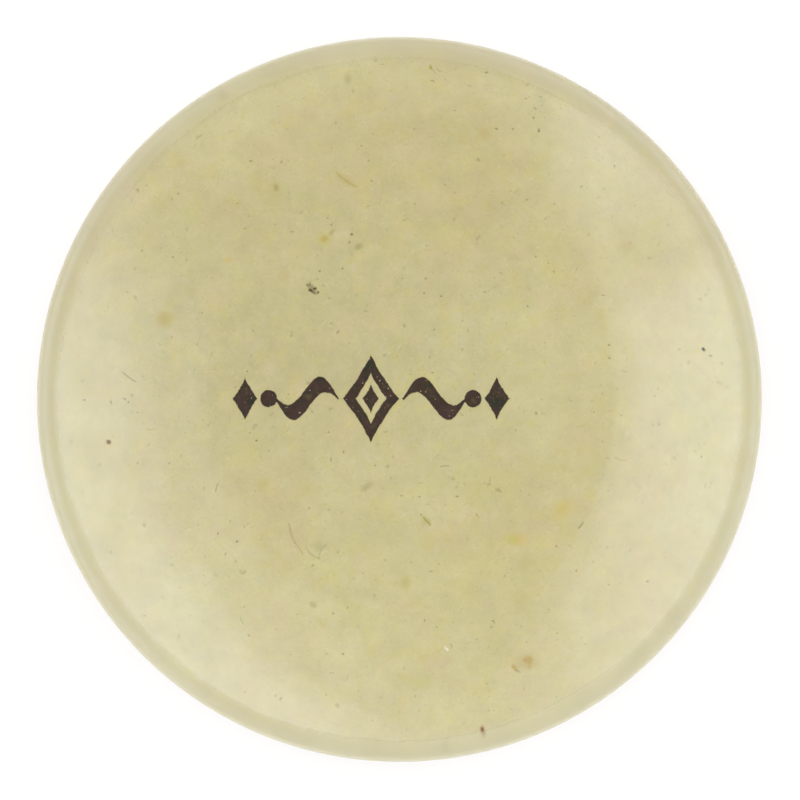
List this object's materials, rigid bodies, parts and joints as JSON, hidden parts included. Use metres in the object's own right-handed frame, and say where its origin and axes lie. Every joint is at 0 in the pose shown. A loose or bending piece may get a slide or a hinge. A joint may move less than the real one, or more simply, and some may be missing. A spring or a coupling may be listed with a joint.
{
  "type": "decoupage glass dish",
  "caption": "Shallow round glass dish with a flat floor and a rounded edge, and an aged printed sheet glued under the glass.",
  "frame": {"origin": "middle of the flat face that the dish rests on, at the bottom of its bounding box", "axes": "+Z is the dish's axis and points up out of the bowl; +X points to the right and +Y to the top of the printed sheet as it is read from above"},
  "size_m": [0.1016, 0.1016, 0.0127],
  "materials": {
    "clear_glass": "gloss",
    "clear_glue": "gloss",
    "aged_paper": "matte",
    "dried_glue": "satin",
    "backing_paper": "matte",
    "lacquer": "satin"
  },
  "bodies": {
    "root": {"glass_dish": "clear_glass", "print_glue": "clear_glue", "print_sheet": "aged_paper", "backing_glue": "dried_glue", "backing_sheet": "backing_paper", "lacquer_coat": "lacquer"}
  },
  "joints": []
}
